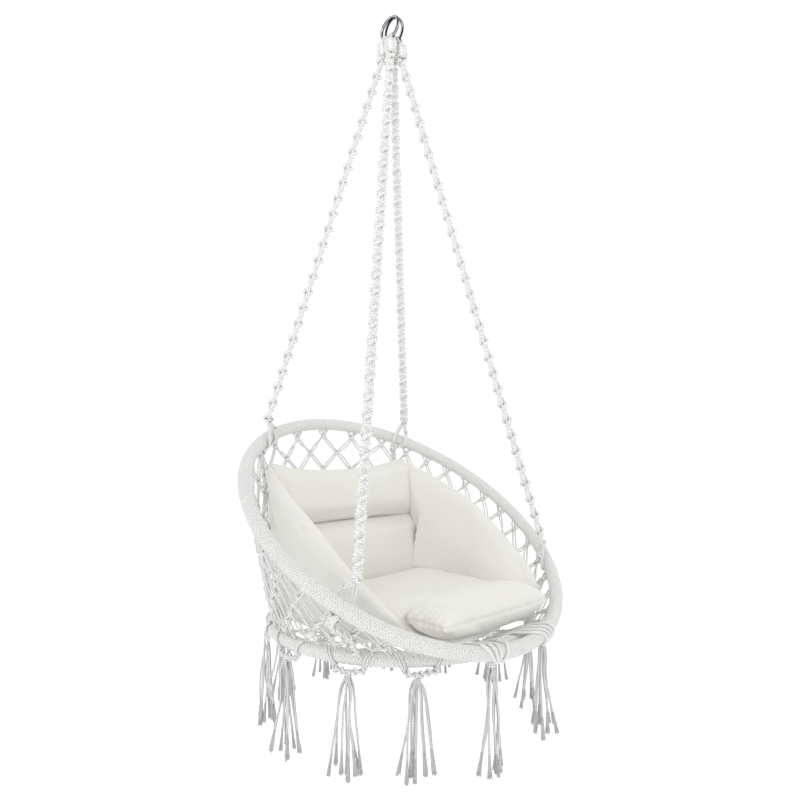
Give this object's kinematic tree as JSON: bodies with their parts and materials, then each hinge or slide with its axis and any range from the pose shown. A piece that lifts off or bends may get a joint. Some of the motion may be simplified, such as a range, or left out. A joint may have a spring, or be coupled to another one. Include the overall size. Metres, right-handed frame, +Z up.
{
  "type": "hammock chair",
  "caption": "Hanging net chair: two sleeved hoops, knotted wall and seat, ropes on twin rings, tassels, bucket cushion and loose pillow.",
  "frame": {"origin": "the point where a hook bears inside the two rings, on the mid-plane between them", "axes": "+Z up along the hanging line, -Y towards the seat's open front, +X to the sitter's left"},
  "size_m": [0.7996, 0.6736, 1.6812],
  "materials": {
    "ring_chrome": "polished",
    "hoop_tube": "bare tube, hidden in its sleeve",
    "knit": "white cotton knit",
    "cord": "white twisted cotton cord",
    "cushion_cloth": "off-white woven cotton"
  },
  "bodies": {
    "rings": {"ring_left": "ring_chrome", "ring_right": "ring_chrome"},
    "eyes": {"rope_eye_back_left": "cord", "rope_eye_back_right": "cord", "rope_eye_front_left": "cord", "rope_eye_front_right": "cord"},
    "chair": {"rope_wrap_back_left": "cord", "rope_wrap_back_right": "cord", "rope_wrap_front_left": "cord", "rope_wrap_front_right": "cord", "hanging_rope_back_left": "cord", "hanging_rope_back_right": "cord", "hanging_rope_front_left": "cord", "hanging_rope_front_right": "cord", "rope_hitch_back_left": "cord", "rope_hitch_back_right": "cord", "rope_hitch_front_left": "cord", "rope_hitch_front_right": "cord", "drop_cord_back_left": "cord", "drop_cord_back_right": "cord", "drop_cord_front_left": "cord", "drop_cord_front_right": "cord", "upper_hoop_tube": "hoop_tube", "lower_hoop_tube": "hoop_tube", "upper_hoop_sleeve": "knit", "lower_hoop_sleeve": "knit", "net_right": "cord", "net_front": "cord", "net_left": "cord", "net_back": "cord", "seat_net": "cord", "tassel_01": "cord", "tassel_02": "cord", "tassel_03": "cord", "tassel_04": "cord", "tassel_05": "cord", "tassel_06": "cord", "tassel_07": "cord", "tassel_08": "cord", "tassel_09": "cord", "tassel_10": "cord", "tassel_11": "cord", "tassel_12": "cord"},
    "cushion": {"seat_pad": "cushion_cloth", "back_roll_lower": "cushion_cloth", "back_roll_upper": "cushion_cloth", "wing_left": "cushion_cloth", "wing_right": "cushion_cloth"},
    "pillow": {"front_pillow": "cushion_cloth"}
  },
  "joints": [
    {"name": "eyes_swing", "type": "hinge", "parent": "rings", "child": "eyes", "pos_m": [0, 0, -0.02526], "axis": [1, 0, 0], "range_deg": [-15, 15]},
    {"name": "chair_side_swing", "type": "hinge", "parent": "eyes", "child": "chair", "pos_m": [0, 0, -0.068], "axis": [0, 1, 0], "range_deg": [-12, 12]},
    {"name": "cushion_lift", "type": "slide", "parent": "chair", "child": "cushion", "axis": [0, -0.5793, 0.8151], "range_m": [0, 0.045]},
    {"name": "pillow_lift", "type": "slide", "parent": "cushion", "child": "pillow", "axis": [0, -0.7682, 0.6402], "range_m": [0, 0.4]}
  ]
}
